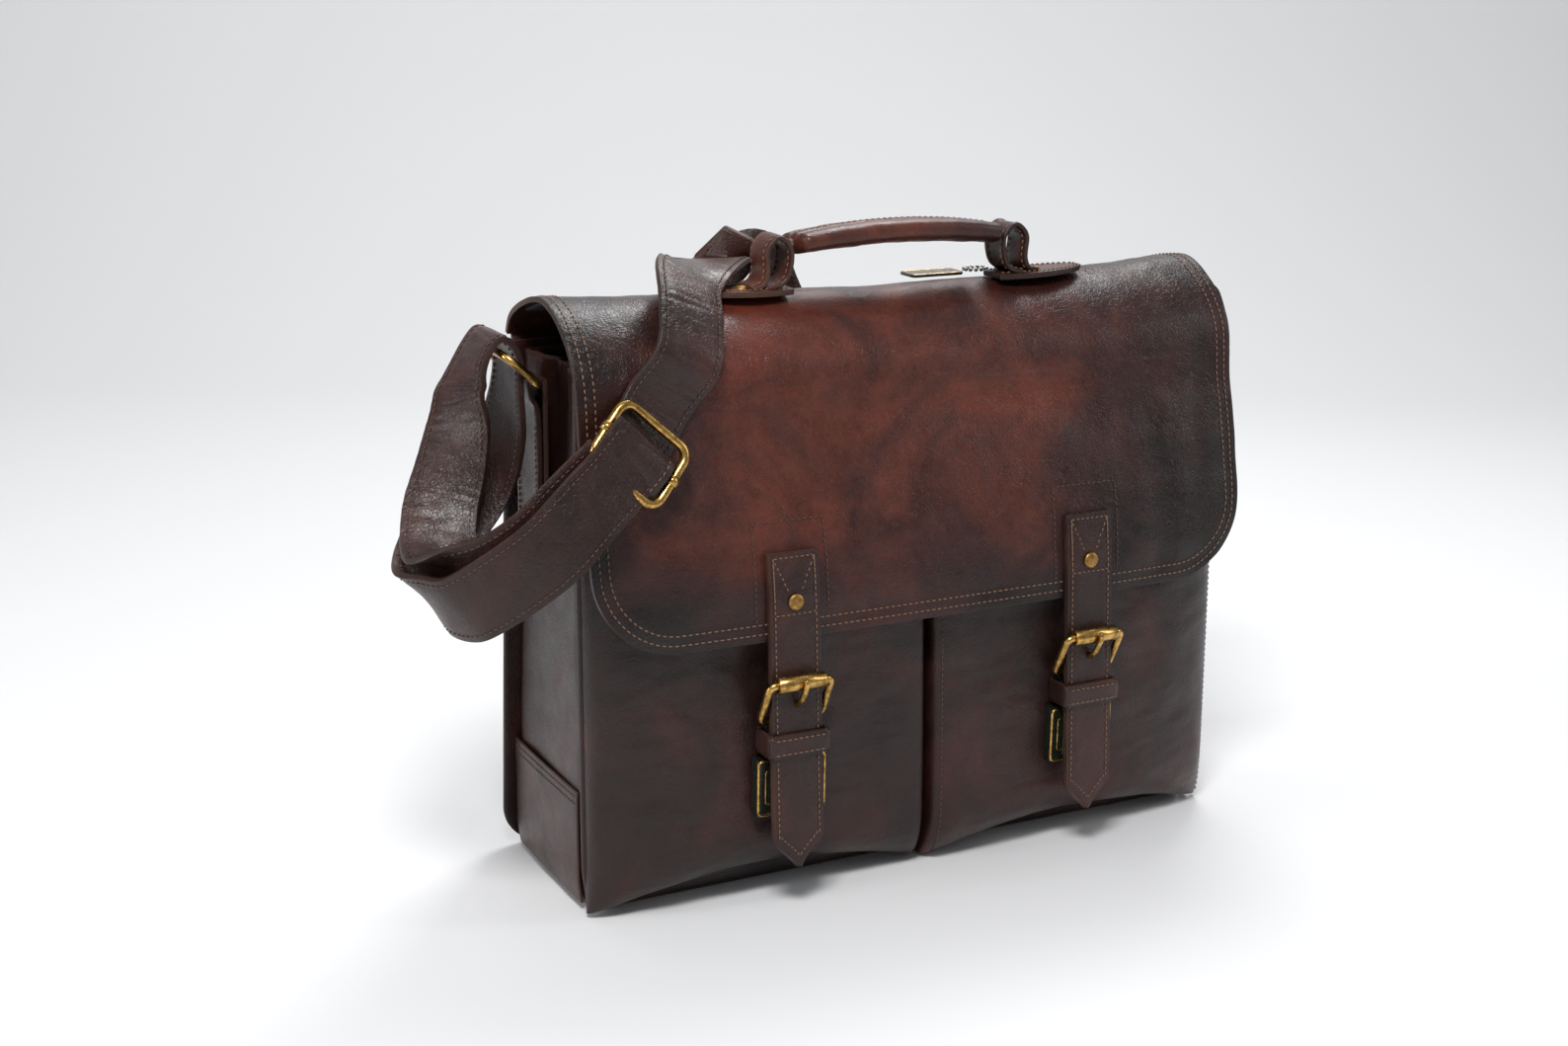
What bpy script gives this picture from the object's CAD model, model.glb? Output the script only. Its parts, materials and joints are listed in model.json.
"""Leather satchel: a soft body with two front pockets, a full flap, two buckled closure
straps, a padded handle and a shoulder strap lying over the flap.  Metres, front at -Y."""

import json
import math

import bmesh
import bpy
from mathutils import Matrix, Vector, noise


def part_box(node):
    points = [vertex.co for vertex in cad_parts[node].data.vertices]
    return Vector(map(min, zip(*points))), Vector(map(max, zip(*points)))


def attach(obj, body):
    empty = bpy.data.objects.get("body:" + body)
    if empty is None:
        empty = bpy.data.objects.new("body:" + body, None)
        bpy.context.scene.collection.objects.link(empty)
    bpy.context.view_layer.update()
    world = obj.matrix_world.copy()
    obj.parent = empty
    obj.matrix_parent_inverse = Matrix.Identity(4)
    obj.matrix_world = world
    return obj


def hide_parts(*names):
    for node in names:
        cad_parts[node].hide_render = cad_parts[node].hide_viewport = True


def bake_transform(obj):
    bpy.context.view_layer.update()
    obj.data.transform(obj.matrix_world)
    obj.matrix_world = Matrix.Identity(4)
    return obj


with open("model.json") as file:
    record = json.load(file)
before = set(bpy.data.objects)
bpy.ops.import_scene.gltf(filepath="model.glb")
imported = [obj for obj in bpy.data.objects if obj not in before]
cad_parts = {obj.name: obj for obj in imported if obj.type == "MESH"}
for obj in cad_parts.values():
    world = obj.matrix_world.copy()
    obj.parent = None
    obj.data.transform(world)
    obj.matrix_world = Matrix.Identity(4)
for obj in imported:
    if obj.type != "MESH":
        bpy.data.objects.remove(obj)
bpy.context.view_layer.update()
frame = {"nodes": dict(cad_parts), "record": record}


# ---- leather ---------------------------------------------------------------------------
# Vegetable tanned cowhide with a waxed, pulled-up finish. One shared group gives its pebbled
# grain, pores, creases and clouded dye, each leather has its own colours and gloss.
def link(tree, a, b):
    tree.links.new(a, b)


def node(tree, kind, **values):
    made = tree.nodes.new(kind)
    for key, value in values.items():
        if hasattr(made, key):
            setattr(made, key, value)
        else:
            made.inputs[key].default_value = value
    return made


def ramp(tree, source, stops):
    made = tree.nodes.new("ShaderNodeValToRGB")
    elements = made.color_ramp.elements
    while len(elements) < len(stops):
        elements.new(0.5)
    for element, (place, colour) in zip(elements, stops):
        element.position = place
        element.color = colour if len(colour) == 4 else (*colour, 1)
    link(tree, source, made.inputs["Fac"])
    return made


grain = bpy.data.node_groups.new("leather_grain", "ShaderNodeTree")
grain.interface.new_socket("Vector", in_out="INPUT", socket_type="NodeSocketVector")
for label in ("Height", "Cloud", "Pores", "Crease", "Smudge"):
    grain.interface.new_socket(label, in_out="OUTPUT", socket_type="NodeSocketFloat")
g_in = grain.nodes.new("NodeGroupInput")
g_out = grain.nodes.new("NodeGroupOutput")
warp = node(grain, "ShaderNodeTexNoise", Scale=160.0, Detail=2.0)
link(grain, g_in.outputs[0], warp.inputs["Vector"])
bent = node(grain, "ShaderNodeMix", data_type="RGBA", blend_type="LINEAR_LIGHT")
bent.inputs[0].default_value = 0.0035
link(grain, g_in.outputs[0], bent.inputs[6])
link(grain, warp.outputs["Color"], bent.inputs[7])
pebble = node(grain, "ShaderNodeTexVoronoi", feature="SMOOTH_F1", Scale=780.0, Smoothness=0.55)
link(grain, bent.outputs[2], pebble.inputs["Vector"])
crack = node(grain, "ShaderNodeTexVoronoi", feature="DISTANCE_TO_EDGE", Scale=430.0)
link(grain, bent.outputs[2], crack.inputs["Vector"])
crack_ramp = ramp(grain, crack.outputs["Distance"], [(0.0, (0, 0, 0)), (0.10, (1, 1, 1))])
fine = node(grain, "ShaderNodeTexNoise", Scale=1500.0, Detail=3.0, Roughness=0.6)
link(grain, g_in.outputs[0], fine.inputs["Vector"])
stretch = node(grain, "ShaderNodeMapping")
stretch.inputs["Rotation"].default_value = (0.2, 0.5, 0.4)
stretch.inputs["Scale"].default_value = (1.0, 1.0, 0.28)
link(grain, g_in.outputs[0], stretch.inputs["Vector"])
crease = node(grain, "ShaderNodeTexNoise", noise_type="RIDGED_MULTIFRACTAL", Scale=46.0,
              Detail=5.0, Roughness=0.55)
link(grain, stretch.outputs[0], crease.inputs["Vector"])
cloud = node(grain, "ShaderNodeTexNoise", Scale=13.0, Detail=6.0, Roughness=0.62,
             Distortion=0.5)
link(grain, g_in.outputs[0], cloud.inputs["Vector"])
smudge = node(grain, "ShaderNodeTexNoise", Scale=60.0, Detail=5.0, Roughness=0.65)
link(grain, g_in.outputs[0], smudge.inputs["Vector"])
inverted = node(grain, "ShaderNodeMath", operation="MULTIPLY")
inverted.inputs[1].default_value = -0.9
link(grain, pebble.outputs["Distance"], inverted.inputs[0])
with_crack = node(grain, "ShaderNodeMath", operation="MULTIPLY_ADD")
with_crack.inputs[1].default_value = 0.35
link(grain, crack_ramp.outputs["Color"], with_crack.inputs[0])
link(grain, inverted.outputs[0], with_crack.inputs[2])
with_fine = node(grain, "ShaderNodeMath", operation="MULTIPLY_ADD")
with_fine.inputs[1].default_value = 0.30
link(grain, fine.outputs["Fac"], with_fine.inputs[0])
link(grain, with_crack.outputs[0], with_fine.inputs[2])
link(grain, with_fine.outputs[0], g_out.inputs["Height"])
link(grain, cloud.outputs["Fac"], g_out.inputs["Cloud"])
link(grain, crack_ramp.outputs["Color"], g_out.inputs["Pores"])
link(grain, crease.outputs["Fac"], g_out.inputs["Crease"])
link(grain, smudge.outputs["Fac"], g_out.inputs["Smudge"])


def leather(name, dark, middle, bright, gloss=0.36, bump=0.35, wrinkle=0.25, fade=None):
    """Dyed leather: dark in clouds, middle over most of it, bright where it is worn. fade
    holds the middle and half size of a worn patch, outside which the dye stays dark."""
    material = bpy.data.materials.new(name)
    material.use_nodes = True
    tree = material.node_tree
    shader = tree.nodes["Principled BSDF"]
    coords = tree.nodes.new("ShaderNodeTexCoord")
    skin = tree.nodes.new("ShaderNodeGroup")
    skin.node_tree = grain
    link(tree, coords.outputs["Object"], skin.inputs[0])
    level = skin.outputs["Cloud"]
    if fade:
        (fade_x, fade_z), (half_x, half_z) = fade
        place = node(tree, "ShaderNodeMapping")
        place.inputs["Location"].default_value = (-fade_x / half_x, 0, -fade_z / half_z)
        place.inputs["Scale"].default_value = (1 / half_x, 0, 1 / half_z)
        link(tree, coords.outputs["Object"], place.inputs["Vector"])
        away = node(tree, "ShaderNodeVectorMath", operation="LENGTH")
        link(tree, place.outputs[0], away.inputs[0])
        darker = node(tree, "ShaderNodeMapRange", interpolation_type="SMOOTHSTEP")
        for label, value in (("From Min", 0.45), ("From Max", 1.25), ("To Min", 0.09),
                             ("To Max", -0.22)):
            darker.inputs[label].default_value = value
        link(tree, away.outputs["Value"], darker.inputs["Value"])
        shifted = node(tree, "ShaderNodeMath", operation="ADD")
        link(tree, level, shifted.inputs[0])
        link(tree, darker.outputs["Result"], shifted.inputs[1])
        level = shifted.outputs[0]
    dye = ramp(tree, level, [(0.30, dark), (0.50, middle), (0.72, bright)])
    pores = node(tree, "ShaderNodeMix", data_type="RGBA", blend_type="MULTIPLY")
    pores.inputs[0].default_value = 0.30
    link(tree, dye.outputs["Color"], pores.inputs[6])
    link(tree, skin.outputs["Pores"], pores.inputs[7])
    patchy = node(tree, "ShaderNodeMix", data_type="RGBA", blend_type="OVERLAY")
    patchy.inputs[0].default_value = 0.35
    link(tree, pores.outputs[2], patchy.inputs[6])
    link(tree, skin.outputs["Smudge"], patchy.inputs[7])
    link(tree, patchy.outputs[2], shader.inputs["Base Color"])
    rough = node(tree, "ShaderNodeMapRange")
    rough.inputs["From Min"].default_value = 0.3
    rough.inputs["From Max"].default_value = 0.7
    rough.inputs["To Min"].default_value = gloss - 0.06
    rough.inputs["To Max"].default_value = gloss + 0.12
    link(tree, skin.outputs["Smudge"], rough.inputs["Value"])
    link(tree, rough.outputs["Result"], shader.inputs["Roughness"])
    fold = node(tree, "ShaderNodeBump", Strength=wrinkle, Distance=0.0012)
    link(tree, skin.outputs["Crease"], fold.inputs["Height"])
    pits = node(tree, "ShaderNodeBump", Strength=bump, Distance=0.00035)
    link(tree, skin.outputs["Height"], pits.inputs["Height"])
    link(tree, fold.outputs["Normal"], pits.inputs["Normal"])
    link(tree, pits.outputs["Normal"], shader.inputs["Normal"])
    shader.inputs["Coat Weight"].default_value = 0.08
    shader.inputs["Coat Roughness"].default_value = 0.26
    shader.inputs["Specular IOR Level"].default_value = 0.42
    shader.inputs["IOR"].default_value = 1.46
    return material


body_hide = leather("body_hide", (0.0085, 0.0040, 0.0034), (0.020, 0.0072, 0.0056),
                    (0.052, 0.0135, 0.0085), gloss=0.36, bump=0.5, wrinkle=0.40)
flap_hide = leather("flap_hide", (0.0090, 0.0036, 0.0030), (0.034, 0.0086, 0.0058),
                    (0.112, 0.0235, 0.0125), gloss=0.33, bump=0.5, wrinkle=0.30,
                    fade=((-0.010, 0.265), (0.205, 0.115)))
strap_hide = leather("strap_hide", (0.011, 0.0050, 0.0042), (0.025, 0.0092, 0.0068),
                     (0.058, 0.0175, 0.0115), gloss=0.34, bump=0.6, wrinkle=0.75)
loop_hide = leather("loop_hide", (0.020, 0.0070, 0.0048), (0.058, 0.0150, 0.0085),
                    (0.120, 0.0300, 0.0150), gloss=0.38, wrinkle=0.45)
edge_hide = leather("edge_hide", (0.010, 0.0045, 0.0035), (0.034, 0.0135, 0.0085),
                    (0.085, 0.0360, 0.0200), gloss=0.48, bump=0.5, wrinkle=0.1)


# ---- cloth, metal and thread -------------------------------------------------------------
# The lining is black woven cotton; the fittings are brass plate, browned in the hollows and
# rubbed bright on the rounds; the tag is dark nickel; seams are sewn with waxed linen.
def plain(name, colour, roughness, metallic=0.0, spots=0.0, spot_colour=(0, 0, 0), scale=300.0,
          bump=0.1):
    material = bpy.data.materials.new(name)
    material.use_nodes = True
    tree = material.node_tree
    shader = tree.nodes["Principled BSDF"]
    coords = tree.nodes.new("ShaderNodeTexCoord")
    speck = node(tree, "ShaderNodeTexNoise", Scale=scale, Detail=6.0, Roughness=0.65)
    link(tree, coords.outputs["Object"], speck.inputs["Vector"])
    mixed = ramp(tree, speck.outputs["Fac"],
                 [(0.35, tuple(c * (1 - spots) + s * spots for c, s in zip(colour, spot_colour))),
                  (0.60, colour)])
    link(tree, mixed.outputs["Color"], shader.inputs["Base Color"])
    rough = node(tree, "ShaderNodeMapRange")
    rough.inputs["To Min"].default_value = roughness + 0.14
    rough.inputs["To Max"].default_value = max(roughness - 0.10, 0.05)
    link(tree, speck.outputs["Fac"], rough.inputs["Value"])
    link(tree, rough.outputs["Result"], shader.inputs["Roughness"])
    dents = node(tree, "ShaderNodeBump", Strength=bump, Distance=0.0003)
    link(tree, speck.outputs["Fac"], dents.inputs["Height"])
    link(tree, dents.outputs["Normal"], shader.inputs["Normal"])
    shader.inputs["Metallic"].default_value = metallic
    return material


brass = plain("aged_brass", (0.66, 0.40, 0.115), 0.25, 1.0, 0.80, (0.13, 0.066, 0.020), 260.0,
              0.12)
matt_brass = plain("matt_brass", (0.42, 0.24, 0.075), 0.42, 1.0, 0.70, (0.10, 0.05, 0.018), 340.0,
                   0.15)
dark_enamel = plain("dark_enamel", (0.010, 0.013, 0.009), 0.22, 0.0, 0.5, (0.004, 0.005, 0.004),
                    260.0)
nickel = plain("dark_nickel", (0.16, 0.155, 0.15), 0.24, 1.0, 0.5, (0.04, 0.04, 0.04), 300.0)
silver = plain("chain_nickel", (0.55, 0.53, 0.50), 0.20, 1.0, 0.4, (0.10, 0.09, 0.08), 500.0)
cloth = plain("lining_cotton", (0.012, 0.011, 0.012), 0.85, 0.0, 0.5, (0.004, 0.004, 0.004),
              2200.0, 0.6)
fibre = plain("fibre_board", (0.12, 0.09, 0.06), 0.80, 0.0, 0.5, (0.06, 0.045, 0.03), 900.0, 0.5)
tan_thread = plain("tan_thread", (0.21, 0.115, 0.068), 0.62, 0.0, 0.6, (0.07, 0.034, 0.020),
                   3000.0, 0.5)
brown_thread = plain("brown_thread", (0.085, 0.042, 0.027), 0.60, 0.0, 0.5,
                     (0.030, 0.015, 0.010), 3000.0, 0.5)
hole_black = plain("hole_black", (0.004, 0.003, 0.003), 0.90)


# ---- ways of making leather sheets, straps, wires and seams -----------------------------------
# Sheets are cut from one hide and folded over; straps are two layers sewn at the edges; wires
# are bent rod; each seam is a row of short raised stitches, pulled into the leather.
def shown(name, mesh, materials, smooth=True):
    piece = bpy.data.objects.new(name, mesh)
    for material in materials:
        mesh.materials.append(material)
    mesh.shade_smooth() if smooth else mesh.shade_flat()
    bpy.context.scene.collection.objects.link(piece)
    return piece


def from_work(name, work, materials, smooth=True):
    mesh = bpy.data.meshes.new(name)
    work.to_mesh(mesh)
    work.free()
    return shown(name, mesh, materials, smooth)


def sheet(name, across, along, place, thickness, materials, offset=1.0, edge=0.0007):
    """A grid put where place(u, v) says; thickness stands on the side of its normals."""
    work = bmesh.new()
    bmesh.ops.create_grid(work, x_segments=across, y_segments=along, size=0.5)
    for vert in work.verts:
        vert.co = place(vert.co.x + 0.5, vert.co.y + 0.5)
    piece = from_work(name, work, materials)
    solid = piece.modifiers.new("thickness", "SOLIDIFY")
    solid.thickness = thickness
    solid.offset = offset
    solid.material_offset_rim = 1 if len(materials) > 1 else 0
    if edge:
        soft = piece.modifiers.new("edge", "BEVEL")
        soft.width = edge
        soft.segments = 2
        soft.limit_method = "ANGLE"
        soft.angle_limit = math.radians(55)
    return piece


def smooth_path(points, steps):
    knots = [Vector(p) for p in points]
    knots = [2 * knots[0] - knots[1]] + knots + [2 * knots[-1] - knots[-2]]
    out = []
    for a, b, c, d in zip(knots, knots[1:], knots[2:], knots[3:]):
        for i in range(steps):
            t = i / steps
            out.append(0.5 * (2 * b + (c - a) * t + (2 * a - 5 * b + 4 * c - d) * t * t
                              + (3 * b - a - 3 * c + d) * t ** 3))
    out.append(knots[-2])
    return out


def crumple(point, size, depth):
    """A small push for a point of soft leather, smooth over size metres."""
    return depth * (noise.noise(point / size) + 0.5 * noise.noise(point / size * 2.1))


class Band:
    """A strap's path: middle line, width direction and face normal at each step."""
    def __init__(self, points, across, steps=10, soften=0):
        self.line = smooth_path(points, steps)
        sides = smooth_path(across, steps)
        for _ in range(soften):
            self.line = [self.line[0]] + [(a + 2 * b + c) / 4 for a, b, c in
                                          zip(self.line, self.line[1:], self.line[2:])] + [self.line[-1]]
            sides = [sides[0]] + [(a + 2 * b + c) / 4 for a, b, c in
                                  zip(sides, sides[1:], sides[2:])] + [sides[-1]]
        self.across = []
        for i, side in enumerate(sides):
            ahead = (self.line[min(i + 1, len(self.line) - 1)] - self.line[max(i - 1, 0)])
            ahead.normalize()
            side = side - ahead * side.dot(ahead)
            self.across.append(side.normalized())
        self.normal = []
        for i, side in enumerate(self.across):
            ahead = (self.line[min(i + 1, len(self.line) - 1)] - self.line[max(i - 1, 0)])
            self.normal.append(ahead.normalized().cross(side).normalized())

    def at(self, share, off, lift=0.0):
        f = min(max(share, 0.0), 1.0) * (len(self.line) - 1)
        i = min(int(f), len(self.line) - 2)
        t = f - i
        middle = self.line[i].lerp(self.line[i + 1], t)
        side = self.across[i].lerp(self.across[i + 1], t).normalized()
        face = self.normal[i].lerp(self.normal[i + 1], t).normalized()
        return middle + side * off + face * lift

    def length(self):
        return sum((b - a).length for a, b in zip(self.line, self.line[1:]))


def strap(name, band, width, thickness, materials, wave=0.0003, ripple=0.0, tip=0.0,
          ripple_at=(0.0, 1.0)):
    """A sewn strap: slightly domed between its seams, flat edges, with ripples where bent."""
    columns = 12
    rows = max(int(band.length() / 0.0016), 8)
    half = width / 2

    def place(u, v):
        off = (u - 0.5) * width
        s = abs(2 * u - 1)
        dome = 0.0004 * (1 - s ** 4) - 0.0005 * math.exp(-((s - 0.82) / 0.05) ** 2)
        lift = dome + crumple(band.at(v, off), 0.012, wave)
        if ripple and ripple_at[0] < v < ripple_at[1]:
            swell = math.sin(math.pi * (v - ripple_at[0]) / (ripple_at[1] - ripple_at[0]))
            wrinkled = noise.noise(Vector((v * band.length() * 330, u * 2.3, 0.7)))
            lift += ripple * swell * wrinkled * (1 - s ** 6)
        if tip and v > 1 - tip / band.length():
            left = (1 - v) * band.length() / tip
            off *= min(1.0, left * 1.02)
        return band.at(v, off, lift)
    piece = sheet(name, columns, rows, place, thickness, materials, offset=0.0, edge=0.0006)
    return piece


def seam(name, spots, thread=None, pitch=0.0034, size=0.00042, lift=0.0002):
    """Stitches along spots, a list of (point, normal), each a short rod half sunk."""
    work = bmesh.new()
    total, spot, last = 0.0, [], spots[0][0]
    for point, face in spots:
        total += (point - last).length
        spot.append((total, point, face))
        last = point
    count = max(int(total / pitch), 1)
    index = 0
    for k in range(count):
        ends = []
        for goal in ((k + 0.14) * total / count, (k + 0.80) * total / count):
            while index < len(spot) - 2 and spot[index + 1][0] < goal:
                index += 1
            a, b = spot[index], spot[index + 1]
            t = (goal - a[0]) / max(b[0] - a[0], 1e-9)
            ends.append((a[1].lerp(b[1], t), a[2]))
        (low, face), (high, _) = ends
        ahead = (high - low).normalized()
        side = ahead.cross(face).normalized()
        rings = []
        for t, r, rise in ((0.0, 0.25, -0.35), (0.22, 0.9, 0.25), (0.78, 0.9, 0.25), (1.0, 0.25, -0.35)):
            centre = low.lerp(high, t) + face * (lift + size * rise)
            rings.append([work.verts.new(centre + (side * math.cos(q) + face * math.sin(q))
                                         * size * r) for q in (0.3, 1.35, 2.4, 3.45, 4.5, 5.55)])
        for a, b in zip(rings, rings[1:]):
            for i in range(6):
                work.faces.new((a[i], a[(i + 1) % 6], b[(i + 1) % 6], b[i]))
    bmesh.ops.recalc_face_normals(work, faces=work.faces)
    return from_work(name, work, [thread or tan_thread])


def strap_seams(name, band, width, thickness, thread=None, inset=0.0034, faces=(1, -1),
                span=(0.01, 0.99)):
    """Both edge seams of a strap, on one or both of its faces."""
    made = []
    steps = max(int(band.length() / 0.004), 4)
    for edge in (-1, 1):
        for face in faces:
            spots = []
            for i in range(steps + 1):
                v = span[0] + (span[1] - span[0]) * i / steps
                base = band.at(v, edge * (width / 2 - inset), 0)
                top = band.at(v, edge * (width / 2 - inset), face * thickness / 2)
                spots.append((top, (top - base).normalized()))
            made.append(seam(name + "_%d_%d" % (edge + 1, face + 1), spots, thread))
    return made


def tube(name, points, diameter, material, closed=False, sides=14, taper=None):
    """A round rod along points."""
    count = len(points)
    work = bmesh.new()
    rings = []
    turn = None
    for i, point in enumerate(points):
        ahead = points[(i + 1) % count] - points[i - 1] if closed else (
            points[min(i + 1, count - 1)] - points[max(i - 1, 0)])
        ahead.normalize()
        if turn is None:
            turn = ahead.orthogonal().normalized()
        turn = (turn - ahead * turn.dot(ahead)).normalized()
        other = ahead.cross(turn)
        r = diameter / 2 * (taper(i / max(count - 1, 1)) if taper else 1.0)
        rings.append([work.verts.new(point + (turn * math.cos(math.tau * k / sides)
                                              + other * math.sin(math.tau * k / sides)) * r)
                      for k in range(sides)])
    pairs = list(zip(rings, rings[1:])) + ([(rings[-1], rings[0])] if closed else [])
    for a, b in pairs:
        shift = 0
        if b is rings[0] and closed:
            shift = min(range(sides), key=lambda s: (b[s].co - a[0].co).length)
        for k in range(sides):
            work.faces.new((a[k], a[(k + 1) % sides], b[(k + 1 + shift) % sides],
                            b[(k + shift) % sides]))
    if not closed:
        work.faces.new(rings[0][::-1])
        work.faces.new(rings[-1])
    bmesh.ops.recalc_face_normals(work, faces=work.faces)
    return from_work(name, work, [material])


def rounded_loop(half_x, half_y, radius, steps=8):
    out = []
    for cx, cy, begin in ((1, 1, 0), (-1, 1, 90), (-1, -1, 180), (1, -1, 270)):
        for i in range(steps + 1):
            a = math.radians(begin + 90 * i / steps)
            out.append((cx * (half_x - radius) + radius * math.cos(a),
                        cy * (half_y - radius) + radius * math.sin(a)))
    return out


def loop_points(middle, across, along, half_x, half_y, radius):
    """Evenly filled rounded rectangle in the plane of across and along."""
    flat = [middle + across * a + along * b for a, b in rounded_loop(half_x, half_y, radius)]
    out = []
    for a, b in zip(flat, flat[1:] + flat[:1]):
        gap = (b - a).length
        if gap < 1e-6:
            continue
        parts = max(int(gap / 0.002), 1)
        out += [a.lerp(b, i / parts) for i in range(parts)]
    return out


def goes(pieces, body, *nodes, material_slot=None):
    """pieces move with body and stand for nodes."""
    pieces = pieces if isinstance(pieces, (list, tuple)) else [pieces]
    for piece in pieces:
        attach(piece, body)
    if nodes:
        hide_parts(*nodes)


def bends(pieces, body_a, body_b, start, end, *nodes, material_slot=None):
    pieces = pieces if isinstance(pieces, (list, tuple)) else [pieces]
    for piece in pieces:
        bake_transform(piece)
    if nodes:
        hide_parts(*nodes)


# ---- body shell ------------------------------------------------------------------------------
# Front, gussets and back of soft cowhide over a board bottom. The gussets fold in towards
# their top; the front seam is turned and rolled; the back panel is left proud as a flange.
half_width = 0.198
height = 0.296


def front_seam_y(z):
    return -0.052 + 0.006 * z / height


def back_y(z):
    return 0.052 - 0.018 * z / height


def smoothstep(a, b, x):
    t = min(max((x - a) / (b - a), 0.0), 1.0)
    return t * t * (3 - 2 * t)


def gusset_fold(side, y, z):
    """How far the gusset leather has folded in at this depth and height."""
    middle = -0.008
    bell = math.exp(-((y - middle) / 0.024) ** 2)
    deep = 0.0085 * smoothstep(0.14, 0.285, z) * bell
    pucker = 0.0022 * smoothstep(0.255, 0.290, z) * math.sin(y * 330 + 1.0)
    return deep + pucker * bell


def shell_point(u, v):
    """Once round front, right, back and left; v runs up from under the base."""
    z = 0.0035 + 0.2885 * max(v - 0.06, 0) / 0.94
    under = max(1 - v / 0.06, 0.0)
    near, far, corner = front_seam_y(z), back_y(z) - 0.0015, 0.007
    wide, deep = half_width - corner, (far - near) / 2 - corner
    centre = (near + far) / 2
    lengths = [2 * wide, 2 * deep, 2 * wide, 2 * deep]
    arc = math.pi * corner / 2
    total = sum(lengths) + 4 * arc
    s = (u % 1.0) * total
    x, y = 0.0, 0.0
    for k in range(4):
        direction = ((1, 0), (0, 1), (-1, 0), (0, -1))[k]
        start = ((-wide, -deep - corner), (wide + corner, -deep), (wide, deep + corner),
                 (-wide - corner, deep))[k]
        if s <= lengths[k]:
            x, y = start[0] + direction[0] * s, start[1] + direction[1] * s
            break
        s -= lengths[k]
        if s <= arc:
            a = s / corner - math.pi / 2 + k * math.pi / 2
            hub = ((wide, -deep), (wide, deep), (-wide, deep), (-wide, -deep))[k]
            x, y = hub[0] + corner * math.cos(a), hub[1] + corner * math.sin(a)
            break
        s -= arc
    y += centre
    if abs(x) > half_width - corner:
        x -= math.copysign(gusset_fold(math.copysign(1, x), y, z), x)
    low = smoothstep(0.0, 0.03, z)
    x *= 1 - 0.012 * (1 - low)
    point = Vector((x, y, z))
    soft = crumple(point + Vector((3.1, 0, 0)), 0.055, 0.0010) * low
    outward = Vector((x * (abs(x) > 0.19), (y - centre) * (abs(x) <= 0.19), 0))
    if outward.length:
        point += outward.normalized() * soft
    if under > 0:
        point.x *= 1 - 0.03 * under
        point.y = centre + (point.y - centre) * (1 - 0.10 * under)
        point.z = 0.0004 + 0.0031 * (1 - under) ** 2
    return point


body_shell = sheet("body_shell", 420, 110, shell_point, 0.0026, [body_hide, edge_hide], -1.0, 0.0)
goes(body_shell, "bag_body", "front_panel", "gusset_left", "gusset_right",
     material_slot="body_leather")


def underside(u, v):
    x, y = (u - 0.5) * 0.386, -0.046 + 0.092 * v
    return Vector((x, y, 0.0))


goes(sheet("base_sole", 40, 12, underside, 0.0024, [body_hide, edge_hide]), "bag_body",
     "base_gusset", material_slot="body_leather")


def turn_up(side):
    """The base leather carried up the gusset, its cut edge sewn down."""
    def place(u, v):
        y0, y1 = -0.0455, 0.0462
        y = y0 + (y1 - y0) * (u if side > 0 else 1 - u)
        z = 0.004 + 0.064 * v
        bow = 0.0006 * math.sin(math.pi * u) + crumple(Vector((side, y, z)), 0.03, 0.0004)
        tuck = (1 - smoothstep(0.0, 0.02, z)) * 0.0022
        return Vector((side * (half_width + 0.0004 + bow - tuck), y, z))
    piece = sheet("turn_up_%d" % side, 40, 30, place, 0.0016, [body_hide, edge_hide])
    rows = []
    for drop in (0.0035, 0.0075):
        spots = [(place(i / 40, 1 - drop / 0.064) + Vector((side * 0.0016, 0, 0)),
                  Vector((side, 0, 0))) for i in range(1, 40)]
        rows.append(seam("turn_up_seam_%d_%d" % (side, drop * 1e4), spots, brown_thread))
    goes([piece] + rows, "bag_body", material_slot="body_leather")


turn_up(-1)
turn_up(1)


def back_place(u, v):
    z = 0.0015 + 0.2945 * v
    radius = 0.024
    half = 0.2055
    if z < radius:
        half = half - radius + math.sqrt(max(radius ** 2 - (radius - z) ** 2, 0))
    x = half * (1 - 2 * u)
    soft = crumple(Vector((x, 5.0, z)), 0.07, 0.0012) * (1 - abs(2 * u - 1) ** 6)
    return Vector((x, back_y(z) + 0.0003 + max(soft, -0.0001), z))


back_sheet = sheet("back_leather", 150, 110, back_place, 0.0030, [body_hide, edge_hide])
back_rows = []
for side in (0, 1):
    spots = []
    for i in range(4, 97):
        spots.append((back_place(abs(side - 0.010), i / 100) + Vector((0, 0.003, 0)),
                      Vector((0, 1, 0))))
    back_rows.append(seam("back_seam_%d" % side, spots, brown_thread))
goes([back_sheet] + back_rows, "bag_body", "back_panel", material_slot="body_leather")

# rolled seam between front and gusset, a thin welt of the same leather
for side in (-1, 1):
    line = [Vector((side * (0.1985 - 0.003 * (1 - smoothstep(0.0, 0.03, z))),
                    front_seam_y(z) - 0.0012, z))
            for z in [0.004 + 0.286 * i / 90 for i in range(91)]]
    goes(tube("front_welt_%d" % side, line, 0.0042, body_hide), "bag_body",
         material_slot="body_leather")


# ---- lining, divider and board --------------------------------------------------------------
# A loose cotton bag hangs inside from the top edge; a foam-filled cotton divider stands
# between two compartments on a fibre board.
def lining_place(u, v):
    point = shell_point(u, 0.075 + 0.885 * v)
    centre = 0.0
    x = point.x * 0.955
    y = centre + (point.y - centre) * 0.86
    z = 0.0085 + 0.272 * v
    soft = crumple(Vector((x, y, z)), 0.03, 0.0011)
    return Vector((x * (1 - abs(soft)), y - math.copysign(abs(soft), y), z))


lining_bag = sheet("lining_bag", 240, 60, lining_place, 0.0008, [cloth], -1.0, 0.0)


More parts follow.
